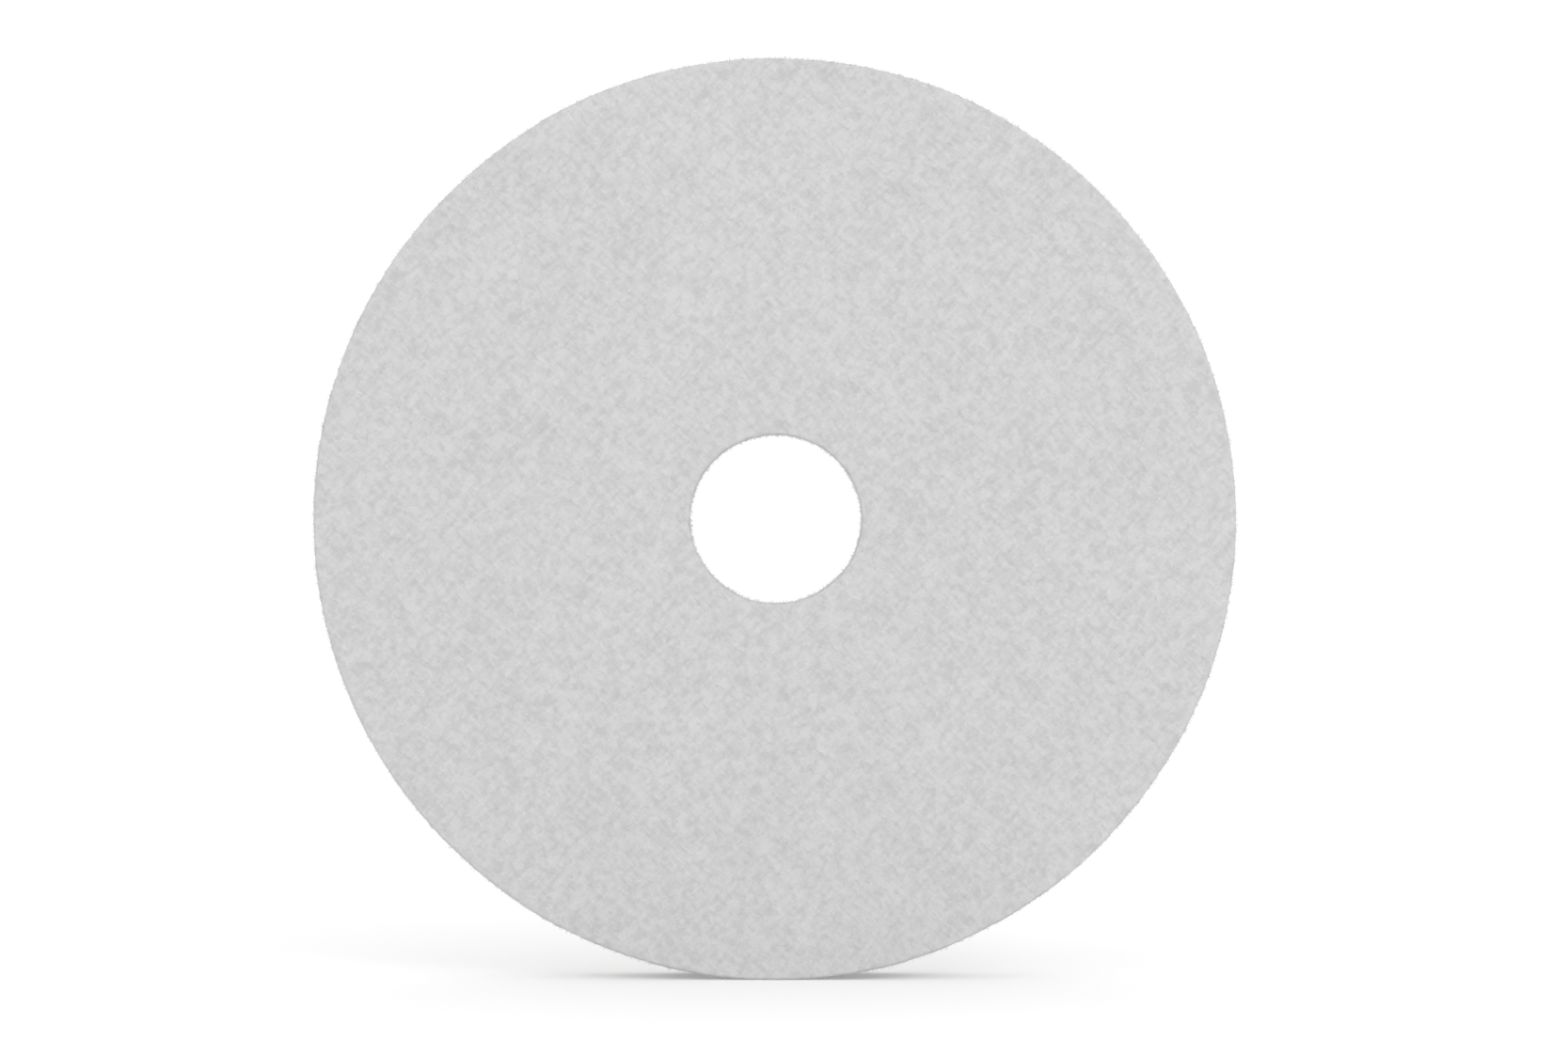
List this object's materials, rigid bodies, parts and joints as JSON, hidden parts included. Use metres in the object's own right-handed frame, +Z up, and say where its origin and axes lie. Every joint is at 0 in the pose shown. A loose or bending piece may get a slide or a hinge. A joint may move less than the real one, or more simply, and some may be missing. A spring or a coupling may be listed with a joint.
{
  "type": "felt polishing wheel",
  "caption": "Flat round polishing wheel of pressed wool felt with a wide central arbor hole and a loop-cloth back.",
  "frame": {"origin": "centre of the wheel: on the arbor hole's axis, midway between the working face and the back", "axes": "Y along the wheel's axis, with the working face towards -Y and the loop-cloth back towards +Y; +Z up as the wheel stands on its edge"},
  "size_m": [0.125, 0.01, 0.125],
  "materials": {
    "pressed_wool": "matt pressed wool felt, undyed grey white",
    "hot_melt_glue": "satin, slightly yellow hot-melt glue",
    "nylon_loop_cloth": "napped nylon loop cloth, grey white"
  },
  "bodies": {
    "root": {"felt_pad": "pressed_wool", "bond_film": "hot_melt_glue", "loop_backing": "nylon_loop_cloth"}
  },
  "joints": []
}
